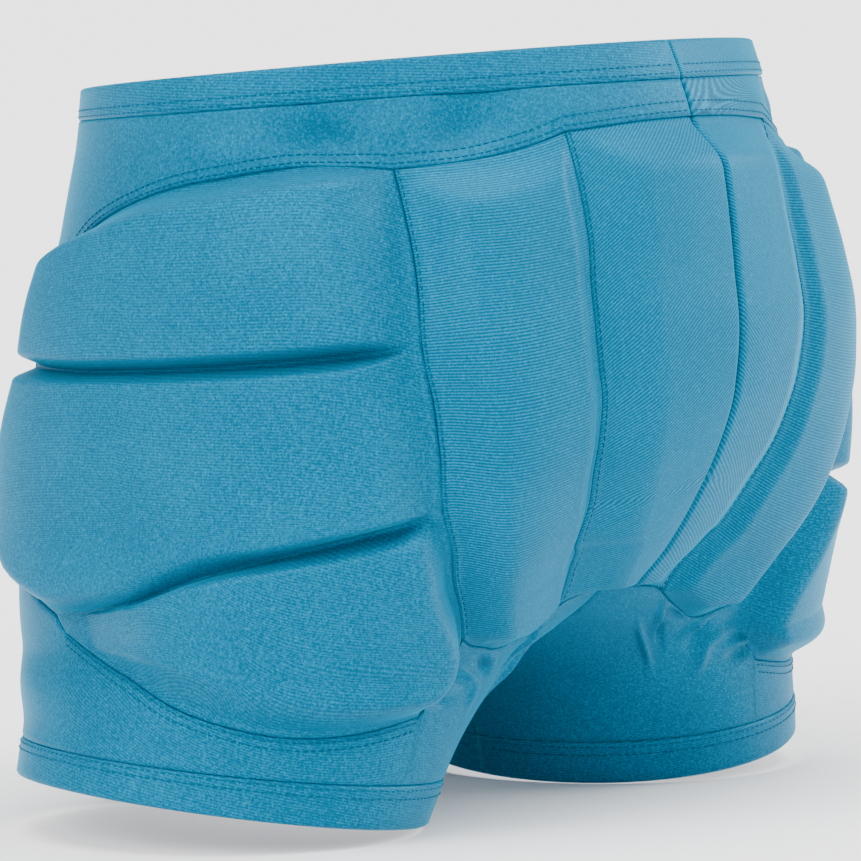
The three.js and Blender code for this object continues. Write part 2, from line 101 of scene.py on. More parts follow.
class Slot(Enum):
    """Material slots of the record."""

    CLOTH = "stretch_cloth"
    INNER = "inner_cloth"
    FOAM = "foam"


def smooth(start: float, end: float, value: Heights) -> Heights:
    """Smooth step from 0 at start to 1 at end, either way round."""
    t = np.clip((value - start) / (end - start), 0.0, 1.0)
    return t * t * (3.0 - 2.0 * t)


def bevel(distance: Array, flange: float, width: float, softness: float = 0.2) -> Array:
    """Share of a pad's height at a distance from its seam, with a rounded foot and crest.

    Args:
        distance: Distances from the seam.
        flange: Flat width next to the seam.
        width: Width of the sloped flank.
        softness: How rounded the foot and the crest are.

    Returns:
        Shares from 0 to 1.
    """
    t = (distance - flange) / width
    ramp = 0.5 * (np.sqrt(t * t + softness**2) - np.sqrt((t - 1) ** 2 + softness**2) + 1.0)
    foot = 0.5 * (softness - math.sqrt(1 + softness**2) + 1.0)
    return np.clip((ramp - foot) / (1 - 2 * foot), 0.0, 1.0)


def soft_least(values: list[Array], radius: float = 0.12) -> Array:
    """Least of several shares, with the creases between them rounded.

    Args:
        values: Shares from 0 to 1.
        radius: How far the rounding reaches.

    Returns:
        The rounded least share.
    """
    least = values[0]
    for other in values[1:]:
        blend = np.clip(0.5 + 0.5 * (other - least) / radius, 0.0, 1.0)
        least = other + (least - other) * blend - radius * blend * (1 - blend)
    return np.clip(least, 0.0, 1.0)


@dataclass(frozen=True)
class Form:
    """The body form the shorts are cut to.

    Each level is depth below the waist, the leg's centre x and y, the reach to the side, to the
    back, the back's squareness, the reach to the front and the front's squareness.
    """

    levels: tuple[tuple[float, ...], ...] = (
        (-10, 0, 0, 147, 121, 1.86, 114, 2.05),
        (5, 0, 0, 149, 127, 1.86, 116, 2.05),
        (30, 0, 0, 151, 139, 1.88, 117, 2.1),
        (48, 0, 0, 153, 144, 2.0, 119, 2.15),
        (65, 0, 0, 155, 147, 2.15, 121, 2.2),
        (85, 1, 0, 156, 149, 2.3, 124, 2.3),
        (105, 2, 0, 157, 151, 2.38, 127, 2.4),
        (125, 5, 0, 155, 149, 2.42, 129, 2.45),
        (145, 13, 0, 149, 142, 2.45, 130, 2.45),
        (165, 25, 0, 139, 131, 2.5, 129, 2.45),
        (185, 39, 0, 127, 118, 2.55, 127, 2.4),
        (200, 52, 0, 117, 106, 2.55, 125, 2.3),
        (215, 64, 0, 107, 97, 2.5, 121, 2.25),
        (225, 74, 0, 98, 92, 2.4, 117, 2.2),
        (235, 85, -1, 90, 88, 2.25, 110, 2.1),
        (250, 100, -2, 82, 87, 2.1, 100, 2.05),
        (270, 111, -4, 76, 85, 2, 88, 2),
        (300, 122, -7, 73, 81, 2, 80, 2),
        (320, 128, -8, 71, 79, 2, 78, 2),
    )
    waist_edge_depth: float = 5.0
    waist_rise: float = 0.085
    waist_rise_ends: float = 70.0
    hem_rise_to_side: float = 0.13
    hem_rise_to_front: float = 0.07
    hem_rise_starts: float = 225.0
    hem_rise_full: float = 300.0

    def at(self, depth: Array) -> list[Array]:
        """Values of every column of the levels at some depths, without overshoot.

        Args:
            depth: Depths below the waist.

        Returns:
            One array per column after the first.
        """
        table = np.array(self.levels, float)
        stations, columns = table[:, 0], table[:, 1:]
        widths = np.diff(stations)
        slopes = np.diff(columns, axis=0) / widths[:, None]
        tangents = np.vstack([slopes[:1], np.zeros_like(slopes[1:]), slopes[-1:]])
        before, after = slopes[:-1], slopes[1:]
        total = before + after
        same_way = before * after > 0
        tangents[1:-1] = np.where(same_way, 2 * before * after / np.where(same_way, total, 1), 0)
        i = np.clip(np.searchsorted(stations, depth, side="right") - 1, 0, len(widths) - 1)
        w = widths[i]
        t = (depth - stations[i]) / w
        a, b = 2 * t**3 - 3 * t**2 + 1, t**3 - 2 * t**2 + t
        c, d = 3 * t**2 - 2 * t**3, t**3 - t**2
        return [
            a * columns[i, k] + b * w * tangents[i, k] + c * columns[i + 1, k] + d * w * tangents[i + 1, k]
            for k in range(columns.shape[1])
        ]

    def point(self, turn: Array, depth: Array) -> Array:
        """Points of the form on the wearer's left.

        Args:
            turn: Turn round the leg in degrees: 0 at the side, 90 at the back, -90 in front.
            depth: Depths below the waist.

        Returns:
            Points, in a last axis of three.
        """
        turn, depth = np.broadcast_arrays(np.asarray(turn, float), np.asarray(depth, float))
        centre_x, centre_y, side, back, back_square, front, front_square = self.at(depth)
        across, along = np.cos(np.radians(turn)), np.sin(np.radians(turn))
        share = smooth(0.3, -0.3, along)
        power = 2 / (back_square + (front_square - back_square) * share)
        reach = np.where(along > 0, back, front)
        x = side * np.sign(across) * np.abs(across) ** power
        y = reach * np.sign(along) * np.abs(along) ** power
        waist = self.waist_rise * (1 - smooth(0, self.waist_rise_ends, depth)) * (centre_y + y)
        hem = smooth(self.hem_rise_starts, self.hem_rise_full, depth)
        z = self.waist_edge_depth - depth + waist
        z = z + hem * (self.hem_rise_to_side * x - self.hem_rise_to_front * y)
        return np.stack([centre_x + x, centre_y + y, z], axis=-1)

    def lifted(self, turn: Array, depth: Array, height: Heights) -> Array:
        """Points at a height above the form, square to it, and straight back by the centre seam.

        Args:
            turn: Turns in degrees.
            depth: Depths below the waist.
            height: Height above the form.

        Returns:
            Points, in a last axis of three.
        """
        turn, depth = np.asarray(turn, float), np.asarray(depth, float)
        step = 0.2
        around = self.point(turn + step, depth) - self.point(turn - step, depth)
        down = self.point(turn, depth + step) - self.point(turn, depth - step)
        outward = np.cross(down, around)
        outward /= np.linalg.norm(outward, axis=-1, keepdims=True) + 1e-9
        base = self.point(turn, depth)
        facing_back = smooth(0.0, 0.3, outward[..., 1])
        hold = smooth(0.0, CENTRE_BLEND, base[..., 0])
        outward[..., 0] *= 1 + (hold - 1) * facing_back
        outward /= np.linalg.norm(outward, axis=-1, keepdims=True) + 1e-9
        return base + outward * np.asarray(height, float)[..., None]

    def centre_turn(self, depth: Array, side: int) -> Array:
        """Turns at which the cloth reaches the centre seam.

        Args:
            depth: Depths below the waist.
            side: 1 at the back, -1 in front.

        Returns:
            Turns in degrees.
        """
        near, far = np.full(len(depth), 60.0), np.full(len(depth), 180.0)
        for _ in range(40):
            middle = (near + far) / 2
            clear = self.lifted(side * middle, depth, CLOTH_HIGH)[:, 0] > CENTRE_GAP / 2
            near, far = np.where(clear, middle, near), np.where(clear, far, middle)
        return side * near

    def centre_at(self, depth: float, side: int) -> float:
        """Turn at which the cloth reaches the centre seam at one depth."""
        return float(self.centre_turn(np.array([depth]), side)[0])

    def crotch_depth(self, turn: Array, top: float, bottom: float) -> Array:
        """Depths at which the inside of the left leg meets the right leg.

        Args:
            turn: Turns in degrees.
            top: Depth to look from.
            bottom: Depth to look to.

        Returns:
            Depths below the waist.
        """
        upper, lower = np.full(len(turn), top), np.full(len(turn), bottom)
        for _ in range(40):
            middle = (upper + lower) / 2
            clear = self.lifted(turn, middle, CLOTH_HIGH)[:, 0] > CENTRE_GAP / 2
            lower, upper = np.where(clear, middle, lower), np.where(clear, upper, middle)
        return lower


def resample(line: Array, shares: Array) -> Array:
    """Places at shares of a line's length.

    Args:
        line: Places in order.
        shares: Shares from 0 to 1.

    Returns:
        One place per share.
    """
    scaled = line * np.array([MM_PER_DEGREE, 1.0])
    lengths = np.concatenate([[0], np.cumsum(np.linalg.norm(np.diff(scaled, axis=0), axis=1))])
    wanted = np.asarray(shares) * lengths[-1]
    return np.stack([np.interp(wanted, lengths, line[:, k]) for k in range(2)], axis=-1)


def curve(places: list[Place], shares: Array) -> Array:
    """Places along a smooth seam through the given places.

    Args:
        places: The seam's fixed places as turn and depth.
        shares: Shares of its length.

    Returns:
        One place per share.
    """
    points = np.array(places, float)
    last = len(points) - 1
    if last == 1:
        return resample(points, shares)
    fine = []
    for i in range(last):
        p0, p1, p2, p3 = (points[min(max(k, 0), last)] for k in (i - 1, i, i + 1, i + 2))
        t = np.linspace(0, 1, 40, endpoint=i == last - 1)[:, None]
        v0, v1 = (p2 - p0) / 2, (p3 - p1) / 2
        cubic, square = 2 * p1 - 2 * p2 + v0 + v1, -3 * p1 + 3 * p2 - 2 * v0 - v1
        fine.append(cubic * t**3 + square * t**2 + v0 * t + p1)
    return resample(np.vstack(fine), shares)


def join(*lines: Array) -> Array:
    """Lines of places joined end to end, without the doubled ends."""
    return np.vstack([lines[0], *(line[1:] for line in lines[1:])])


def even(steps: int) -> Array:
    """Even shares from 0 to 1."""
    return np.linspace(0.0, 1.0, steps + 1)


def fill(top: Array, bottom: Array, front: Array, back: Array) -> Array:
    """Grid of places between four edges; rows run from top to bottom.

    Args:
        top: Upper edge, from front to back.
        bottom: Lower edge, from front to back.
        front: Front edge, from top to bottom.
        back: Back edge, from top to bottom.

    Returns:
        Grid of rows by columns by two.
    """
    u = np.linspace(0, 1, len(top))[None, :, None]
    v = np.linspace(0, 1, len(front))[:, None, None]
    grid = (1 - v) * top[None] + v * bottom[None] + (1 - u) * front[:, None] + u * back[:, None]
    upper = (1 - u) * top[0] + u * top[-1]
    lower = (1 - u) * bottom[0] + u * bottom[-1]
    return grid - (1 - v) * upper - v * lower


def between(top: Array, bottom: Array, rows: int) -> Array:
    """Grid of places between two edges matched place by place."""
    v = even(rows)[:, None, None]
    return (1 - v) * top[None] + v * bottom[None]


@dataclass(frozen=True)
class Seams:
    """The seams of the left half, as turn and depth."""

    hip_front_top: Place = (-30, 88)
    hip_front_middle: Place = (-38, 121)
    front_corner: Place = (-46, 190)
    hip_low_corner: Place = (-21, 216)
    leg_back_corner: Place = (87, 251.5)
    hip_back_top: Place = (39, 43)
    hip_back_first_groove: Place = (42, 107.5)
    hip_back_second_groove: Place = (55, 170.5)
    seat_low_corner: Place = (84, 223.5)
    seat_seam_top: Place = (65, 33.5)
    seat_seam_low: Place = (102.5, 216.5)
    yoke_over_seat: Place = (78.5, 31.5)
    seat_end: Place = (104.5, 213)
    inside_leg: float = 180.15
    yoke_centre_depth: float = 31.0
    seat_centre_low_depth: float = 209.0
    front_centre_low_depth: float = 216.0
    waist_edge: float = 5.0
    waist_seam: float = 19.0
    hem_seam: float = 275.0
    hem_edge: float = 291.0

    def hip_top(self) -> list[Place]:
        """Yoke seam over the hip."""
        return [self.hip_front_top, (-18, 66), (0, 49.5), (13.5, 44), (27, 41), self.hip_back_top]

    def outer_seat_top(self) -> list[Place]:
        """Yoke seam over the outer seat panel."""
        return [self.hip_back_top, (50.5, 41), (59, 37.5), self.seat_seam_top]

    def hip_front_upper(self) -> list[Place]:
        """Front seam beside the upper hip pad."""
        return [self.hip_front_top, (-35, 104), self.hip_front_middle]

    def hip_front_lower(self) -> list[Place]:
        """Front seam beside the middle hip pad."""
        return [self.hip_front_middle, (-43, 145), (-46.5, 170), self.front_corner]

    def hip_front_turn(self) -> list[Place]:
        """Front seam where it turns under the middle hip pad."""
        return [self.front_corner, (-40, 203), self.hip_low_corner]

    def first_groove(self) -> list[Place]:
        """Groove between the upper and middle hip pads."""
        return [self.hip_front_middle, (-10.5, 120), (9, 116), (28, 111.5), self.hip_back_first_groove]

    def second_groove(self) -> list[Place]:
        """Groove between the middle and lower hip pads."""
        return [self.hip_low_corner, (-3, 210), (12, 197), (31, 185), self.hip_back_second_groove]

    def lower_seam(self) -> list[Place]:
        """Seam between the hip panel and the leg panel."""
        return [(-17.5, 223), (-1, 237), (20.5, 250.5), (45.5, 258), (67.5, 257), self.leg_back_corner]

    def hip_back_upper(self) -> list[Place]:
        """Back seam beside the upper hip pad."""
        return [self.hip_back_top, (40.5, 65), (41.5, 85), self.hip_back_first_groove]

    def hip_back_middle(self) -> list[Place]:
        """Back seam beside the middle hip pad."""
        return [self.hip_back_first_groove, (44.5, 127), (49, 149), self.hip_back_second_groove]

    def hip_back_lower(self) -> list[Place]:
        """Back seam beside the lower hip pad, down to the seat's corner."""
        return [self.hip_back_second_groove, (65, 191), (75.5, 208.5), self.seat_low_corner]

    def hip_back_end(self) -> list[Place]:
        """Back seam below the seat's corner."""
        return [self.seat_low_corner, (89.5, 238), self.leg_back_corner]

    def seat_seam(self) -> list[Place]:
        """Seam between the outer and inner seat panels."""
        middle = [(68.5, 69), (71, 113), (77.5, 149), (85, 173), (92, 196)]
        return [self.seat_seam_top, *middle, self.seat_seam_low]

    def outer_seat_end(self) -> list[Place]:
        """Lower edge of the outer seat panel."""
        return [self.seat_low_corner, (89, 227), (99, 229), self.seat_seam_low]


@dataclass
class Panel:
    """A grid of places on the form with the distances its relief is drawn from."""

    form: Form
    grid: Array
    base: Array = field(init=False)

    def __post_init__(self) -> None:
        """Reads the grid's points on the form."""
        self.base = self.form.point(self.grid[..., 0], self.grid[..., 1])

    def run(self, axis: int) -> Array:
        """Length from the first row down the rows for axis 0, or along the columns for axis 1."""
        steps = np.linalg.norm(np.diff(self.base, axis=axis), axis=-1)
        start = np.zeros_like(np.take(steps, [0], axis=axis))
        return np.concatenate([start, np.cumsum(steps, axis=axis)], axis=axis)

    def edges(self) -> tuple[Array, Array, Array, Array]:
        """Distances from the top, bottom, front and back edges."""
        down, along = self.run(0), self.run(1)
        return down, down[-1:] - down, along, along[:, -1:] - along

    def rolled(self, heights: Array, depth: float = 0.9, width: float = 2.2) -> Array:
        """Heights with the panel's edges turned down towards its seams.

        Args:
            heights: Heights above the form.
            depth: How far the very edge is turned down.
            width: Width of the turn.

        Returns:
            The new heights.
        """
        nearest = np.minimum.reduce(self.edges())
        return heights - depth * (1 - smooth(0, width, nearest)) ** 2

    def drawn_in(self, gap: float) -> "Panel":
        """The panel with its outer places moved in by half a seam gap.

        Args:
            gap: Gap between two panels.

        Returns:
            A new panel.
        """
        grid = self.grid.copy()

        def pull(edge: Array, inner: Array) -> Array:
            apart = np.linalg.norm(self.form.point(*edge.T) - self.form.point(*inner.T), axis=-1)
            share = (gap / 2) / np.maximum(apart, gap)
            return edge + (inner - edge) * share[:, None]

        grid[0], grid[-1] = pull(grid[0], grid[1]), pull(grid[-1], grid[-2])
        grid[:, 0], grid[:, -1] = pull(grid[:, 0], grid[:, 1]), pull(grid[:, -1], grid[:, -2])
        return Panel(self.form, grid)


def tune(node: bpy.types.Node, values: dict[str, object]) -> None:
    """Sets a shader node's inputs by name."""
    for name, value in values.items():
        node.inputs[name].default_value = value


def blurred(values: Array, rounds: int) -> Array:
    """Values eased over their neighbours, with the edges kept.

    Args:
        values: A grid of heights.
        rounds: How many times to ease them.

    Returns:
        The eased grid.
    """
    result = values.copy()
    for _ in range(rounds):
        inner = result[:-2, 1:-1] + result[2:, 1:-1] + result[1:-1, :-2] + result[1:-1, 2:]
        result[1:-1, 1:-1] = 0.5 * result[1:-1, 1:-1] + 0.125 * inner
    return result


@dataclass(frozen=True)
class Knit:
    """A stretch knit: its colours, how it shines and which way its ribs run."""

    name: str
    base: tuple[float, float, float]
    light: tuple[float, float, float]
    rib_turn: float = 0.0
    rib_pitch: float = 1.15
    rib_share: float = 0.35
    rib_wave: float = 0.0
    roughness: float = 0.46
    sheen: float = 0.34
    lustre: float = 0.12
    grain: float = 0.9

    def make(self) -> bpy.types.Material:
        """Builds the material.

        Returns:
            The node material.
        """
        material = bpy.data.materials.new(self.name)
        material.use_nodes = True
        tree = material.node_tree
        nodes, links = tree.nodes, tree.links
        shader = nodes["Principled BSDF"]
        finish = {
            "Roughness": self.roughness,
            "Sheen Weight": self.sheen,
            "Sheen Roughness": 0.35,
            "Sheen Tint": SHINE,
            "Specular Tint": SHINE,
            "Specular IOR Level": 0.16,
            "Metallic": self.lustre,
        }
        tune(shader, finish)
        cloth = nodes.new("ShaderNodeAttribute")
        cloth.attribute_name = "cloth_mm"
        place = nodes.new("ShaderNodeTexCoord")

        rib = nodes.new("ShaderNodeMapping")
        rib.inputs["Rotation"].default_value = (0, 0, math.radians(self.rib_turn))
        links.new(cloth.outputs["Vector"], rib.inputs["Vector"])
        ribs = nodes.new("ShaderNodeTexWave")
        ribs.bands_direction = "Y"
        scale = 2 * math.pi / (20 * self.rib_pitch)
        tune(ribs, {"Scale": scale, "Distortion": self.rib_wave, "Detail": 1.0, "Detail Scale": 0.6})
        links.new(rib.outputs["Vector"], ribs.inputs["Vector"])

        grain = self._noise(tree, place, 900.0, 3.0)
        speck = self._noise(tree, place, 1500.0, 1.0)
        patch = self._noise(tree, place, 22.0, 2.0)

        specks = nodes.new("ShaderNodeMapRange")
        tune(specks, {"From Min": 0.5, "From Max": 0.8})
        links.new(speck.outputs["Fac"], specks.inputs["Value"])

        share = self._blend(tree, grain.outputs["Fac"], ribs.outputs["Fac"], self.rib_share)
        share = self._blend(tree, share, patch.outputs["Fac"], 0.18)
        share = self._blend(tree, share, specks.outputs["Result"], 0.22)
        spread = nodes.new("ShaderNodeMapRange")
        half = 0.5 / (1 + 2 * self.grain)
        tune(spread, {"From Min": 0.5 - half, "From Max": 0.5 + half})
        links.new(share, spread.inputs["Value"])
        colour = nodes.new("ShaderNodeMix")
        colour.data_type = "RGBA"
        tune(colour, {"A": (*self.base, 1.0), "B": (*self.light, 1.0)})
        links.new(spread.outputs["Result"], colour.inputs["Factor"])
        links.new(colour.outputs["Result"], shader.inputs["Base Color"])

        rough = nodes.new("ShaderNodeMapRange")
        tune(rough, {"To Min": self.roughness + 0.08, "To Max": self.roughness - 0.1})
        links.new(share, rough.inputs["Value"])
        links.new(rough.outputs["Result"], shader.inputs["Roughness"])

        bump = nodes.new("ShaderNodeBump")
        tune(bump, {"Strength": 0.35, "Distance": 0.00025})
        links.new(share, bump.inputs["Height"])
        links.new(bump.outputs["Normal"], shader.inputs["Normal"])
        return material

    @staticmethod
    def _noise(
        tree: bpy.types.NodeTree,
        place: bpy.types.Node,
        scale: float,
        detail: float,
    ) -> bpy.types.Node:
        """Adds a noise texture in the object's own space, with scale repeats per metre."""
        noise = tree.nodes.new("ShaderNodeTexNoise")
        tune(noise, {"Scale": scale, "Detail": detail})
        tree.links.new(place.outputs["Object"], noise.inputs["Vector"])
        return noise

    @staticmethod
    def _blend(
        tree: bpy.types.NodeTree,
        first: bpy.types.NodeSocket,
        second: bpy.types.NodeSocket,
        share: float,
    ) -> bpy.types.NodeSocket:
        """Blends two values, with the given share of the second."""
        mix = tree.nodes.new("ShaderNodeMix")
        mix.data_type = "FLOAT"
        tune(mix, {"Factor": share})
        tree.links.new(first, mix.inputs["A"])
        tree.links.new(second, mix.inputs["B"])
        return mix.outputs["Result"]


@dataclass(frozen=True)
class FoamFinish:
    """Closed-cell foam, off-white and matt."""

    name: str = "pad_foam"
    dark: tuple[float, ...] = (0.72, 0.7, 0.63, 1)
    light: tuple[float, ...] = (0.88, 0.86, 0.8, 1)

    def make(self) -> bpy.types.Material:
        """Builds the material.

        Returns:
            The node material.
        """
        material = bpy.data.materials.new(self.name)
        material.use_nodes = True
        nodes, links = material.node_tree.nodes, material.node_tree.links
        shader = nodes["Principled BSDF"]
        shader.inputs["Roughness"].default_value = 0.9
        place = nodes.new("ShaderNodeTexCoord")
        cells = nodes.new("ShaderNodeTexVoronoi")
        cells.inputs["Scale"].default_value = 900.0
        links.new(place.outputs["Object"], cells.inputs["Vector"])
        ramp = nodes.new("ShaderNodeValToRGB")
        ramp.color_ramp.elements[0].color = self.dark
        ramp.color_ramp.elements[1].color = self.light
        links.new(cells.outputs["Distance"], ramp.inputs["Fac"])
        links.new(ramp.outputs["Color"], shader.inputs["Base Color"])
        bump = nodes.new("ShaderNodeBump")
        bump.inputs["Distance"].default_value = 0.0003
        links.new(cells.outputs["Distance"], bump.inputs["Height"])
        links.new(bump.outputs["Normal"], shader.inputs["Normal"])
        return material


@dataclass
class Wardrobe:
    """The finishes of the shorts, made once."""

    plain: bpy.types.Material
    ribbed: bpy.types.Material
    chevron: dict[Side, bpy.types.Material]
    waist: dict[Side, bpy.types.Material]
    lining: bpy.types.Material
    thread: bpy.types.Material
    foam: bpy.types.Material

    BASE = (0.0, 0.068, 0.135)
    LIGHT = (0.0, 0.175, 0.31)
    LINING_SHADES = (0.0, 0.03, 0.11), (0.0, 0.055, 0.17)
    THREAD_SHADES = (0.0, 0.06, 0.12), (0.0, 0.16, 0.25)

    @classmethod
    def made(cls) -> "Wardrobe":
        """Makes every finish.

        Returns:
            The finishes.
        """
        plain = Knit("stretch_knit", cls.BASE, cls.LIGHT, rib_turn=8, rib_share=0.18)
        slanted = replace(plain, rib_turn=-38, rib_share=0.5)
        waist = {
            Side.LEFT: replace(plain, rib_turn=6, rib_share=0.2, rib_wave=1.2),
            Side.RIGHT: replace(plain, rib_turn=-18, rib_share=0.5, rib_wave=1.2),
        }
        lining = Knit("lining_knit", *cls.LINING_SHADES, rib_share=0.3, roughness=0.6, sheen=0.1)
        return cls(
            plain=plain.make(),
            ribbed=replace(plain, name="stretch_knit_ribbed", rib_turn=2, rib_share=0.45).make(),
            chevron={
                side: replace(slanted, name=f"stretch_knit_slanted_{side.value}").make() for side in Side
            },
            waist={
                side: replace(knit, name=f"stretch_knit_waist_{side.value}").make()
                for side, knit in waist.items()
            },
            lining=lining.make(),
            thread=Knit("sewing_thread", *cls.THREAD_SHADES, roughness=0.5, sheen=0.2).make(),
            foam=FoamFinish().make(),
        )


@dataclass(frozen=True)
class Dent:
    """A soft hollow or swelling in plain cloth."""

    turn: float
    depth: float
    height: float
    width: float
    length: float
    slant: float = 0.0

    def at(self, grid: Array) -> Array:
        """Height it adds over a grid of places."""
        x = (grid[..., 0] - self.turn) * MM_PER_DEGREE
        y = grid[..., 1] - self.depth
        c, s = math.cos(math.radians(self.slant)), math.sin(math.radians(self.slant))
        across, down = (x * c + y * s) / self.width, (y * c - x * s) / self.length
        return self.height * np.exp(-(across**2) - down**2)


@dataclass
class Workshop:
    """Makes pieces for both halves and hands them to the frame."""

    form: Form
    seams: Seams
    finishes: Wardrobe
    made: list[bpy.types.Object] = field(default_factory=list)

    def piece(
        self,
        name: str,
        side: Side,
        points: Array,
        faces: Array,
        materials: list[bpy.types.Material],
        inner: Array | None = None,
        cloth: Array | None = None,
    ) -> bpy.types.Object:
        """Makes one object from points and faces of the left half.

        Args:
            name: Piece name without its side.
            side: Half it belongs to; the right one is mirrored.
            points: Points in millimetres.
            faces: Corner numbers, three or four a face.
            materials: The outer finish, then the inner one.
            inner: For each face, whether it takes the inner finish.
            cloth: Place of each point along the cloth, in millimetres.

        Returns:
            The object.
        """
        placed, corners = points * MM, faces
        if side is Side.RIGHT:
            placed = placed * np.array([-1.0, 1.0, 1.0])
            corners = faces[:, ::-1]
        mesh = bpy.data.meshes.new(f"{name}_{side.value}")
        mesh.vertices.add(len(placed))
        mesh.vertices.foreach_set("co", placed.astype(np.float32).ravel())
        size = corners.shape[1]
        mesh.loops.add(corners.size)
        mesh.loops.foreach_set("vertex_index", corners.astype(np.int32).ravel())
        mesh.polygons.add(len(corners))
        mesh.polygons.foreach_set("loop_start", np.arange(0, corners.size, size, dtype=np.int32))
        mesh.polygons.foreach_set("use_smooth", np.ones(len(corners), bool))
        for material in materials:
            mesh.materials.append(material)
        if inner is not None:
            mesh.polygons.foreach_set("material_index", inner.astype(np.int32))
        if cloth is not None:
            layer = mesh.attributes.new("cloth_mm", "FLOAT_VECTOR", "POINT")
            layer.data.foreach_set("vector", cloth.astype(np.float32).ravel())
        mesh.update(calc_edges=True)
        mesh.validate()
        item = bpy.data.objects.new(f"{name}_{side.value}", mesh)
        bpy.context.scene.collection.objects.link(item)
        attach(item, "root")
        self.made.append(item)
        return item

    def layer(
        self,
        name: str,
        side: Side,
        panel: Panel,
        low: Heights,
        high: Heights,
        materials: list[bpy.types.Material],
    ) -> bpy.types.Object:
        """Makes a closed layer over a panel, between two heights.

        Args:
            name: Piece name without its side.
            side: Half it belongs to.
            panel: The panel it covers.
            low: Heights of its inner face.
            high: Heights of its outer face.
            materials: The outer finish, then the inner one.

        Returns:
            The object.
        """
        rows, columns = panel.grid.shape[:2]
        turn, depth = panel.grid[..., 0], panel.grid[..., 1]
        high_points = self.form.lifted(turn, depth, np.broadcast_to(high, turn.shape))
        low_points = self.form.lifted(turn, depth, np.broadcast_to(low, turn.shape))
        points = np.concatenate([high_points.reshape(-1, 3), low_points.reshape(-1, 3)])
        index = np.arange(rows * columns).reshape(rows, columns)
        a, b, c, d = index[:-1, :-1], index[1:, :-1], index[1:, 1:], index[:-1, 1:]
        outer = np.stack([a, b, c, d], axis=-1).reshape(-1, 4)
        inner = outer[:, ::-1] + rows * columns
        rim = np.concatenate([index[0, :-1], index[:-1, -1], index[-1, :0:-1], index[:0:-1, 0]])
        after = np.roll(rim, -1)
        rim_faces = np.stack([rim, after, after + rows * columns, rim + rows * columns], axis=-1)
        faces = np.concatenate([outer, inner, rim_faces])
        takes_inner = np.zeros(len(faces), int)
        takes_inner[len(outer) : len(outer) + len(inner)] = len(materials) - 1
        along, down = panel.run(1), panel.run(0)
        middle = columns // 2
        cloth = np.stack([along - along[:, middle : middle + 1], -down, np.zeros_like(down)], axis=-1)
        cloth = np.concatenate([cloth.reshape(-1, 3)] * 2)
        return self.piece(name, side, points, faces, materials, takes_inner, cloth)

    def cloth(
        self,
        node: str,
        side: Side,
        panel: Panel,
        low: Heights,
        high: Heights,
        finish: bpy.types.Material,
    ) -> bpy.types.Object:
        """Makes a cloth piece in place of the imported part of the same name.

        Args:
            node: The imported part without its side.
            side: Half it belongs to.
            panel: The panel it covers.
            low: Heights of its inner face.
            high: Heights of its outer face.
            finish: Its outer finish; its inner one is the lining's.

        Returns:
            The object.
        """
        item = self.layer(f"{node}_cloth", side, panel, low, high, [finish, self.finishes.lining])
        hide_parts(f"{node}_{side.value}")
        return item

    def lining(self, node: str, side: Side, panel: Panel) -> bpy.types.Object:
        """Makes a lining just inside the form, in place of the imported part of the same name."""
        item = self.layer(f"{node}_cloth", side, panel, -COVER, 0.0, [self.finishes.lining])
        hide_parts(f"{node}_{side.value}")
        return item

    def pad(self, name: str, node: str, side: Side, block: Panel, relief: Array) -> None:
        """Makes a foam pad under a cover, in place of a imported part.

        Args:
            name: Piece name without its side.
            node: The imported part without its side.
            side: Half it belongs to.
            block: The block it fills.
            relief: Relief of the cover over it.
        """
        inset = (slice(PAD_INSET_ROWS, -PAD_INSET_ROWS), slice(PAD_INSET_COLUMNS, -PAD_INSET_COLUMNS))
        panel = Panel(self.form, block.grid[inset])
        foot = LINING + GAP
        top = np.maximum(CLOTH_LOW - GAP + relief[inset] - PAD_SLACK, foot + PAD_LEAST)
        item = self.layer(name, side, panel, foot, top, [self.finishes.foam])
        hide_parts(f"{node}_{side.value}")

    def stitches(
        self,
        name: str,
        side: Side,
        line: Array,
        height: float,
        dents: tuple[Dent, ...] = (),
        pitch: float = 3.1,
        length: float = 2.3,
    ) -> bpy.types.Object:
        """Makes a row of separate stitches along a line of places.

        Args:
            name: Piece name without its side.
            side: Half it belongs to.
            line: Places along the row.
            height: Height of the cloth under it.
            dents: Dents of that cloth.
            pitch: Distance from stitch to stitch.
            length: Length of one stitch.

        Returns:
            The object.
        """
        fine = resample(line, even(1200))
        rest = height + sum((dent.at(fine) for dent in dents), np.zeros(len(fine)))
        surface = self.form.lifted(fine[:, 0], fine[:, 1], rest)
        above = self.form.lifted(fine[:, 0], fine[:, 1], rest + 1.0)
        run = np.concatenate([[0], np.cumsum(np.linalg.norm(np.diff(surface, axis=0), axis=1))])
        count = max(int(run[-1] / pitch), 1)
        starts = (np.arange(count) + 0.5) * run[-1] / count
        profile, sides = STITCH_PROFILE, STITCH_SIDES
        points, faces = [], []
        for start in starts:
            ends = np.array([start - length / 2, start + length / 2])
            place = np.stack([np.interp([*ends, start], run, surface[:, k]) for k in range(3)], axis=-1)
            up = np.array([np.interp(start, run, (above - surface)[:, k]) for k in range(3)])
            forward = place[1] - place[0]
            forward /= np.linalg.norm(forward) + 1e-9
            across = np.cross(up, forward)
            first = len(points)
            for share, radius in profile:
                bow = STITCH_RISE - STITCH_BOW * share**2
                centre = place[2] + forward * share * length + up * bow
                for k in range(sides):
                    angle = 2 * math.pi * k / sides
                    points.append(centre + radius * (math.cos(angle) * across + math.sin(angle) * up))
            for ring in range(len(profile) - 1):
                for k in range(sides):
                    a, b = first + ring * sides + k, first + ring * sides + (k + 1) % sides
                    faces.append((a, b, b + sides, a + sides))
            last = first + (len(profile) - 1) * sides
            faces.append((first + 3, first + 2, first + 1, first))
            faces.append((first + 5, first + 4, first + 3, first))
            faces.append((last, last + 1, last + 2, last + 3))
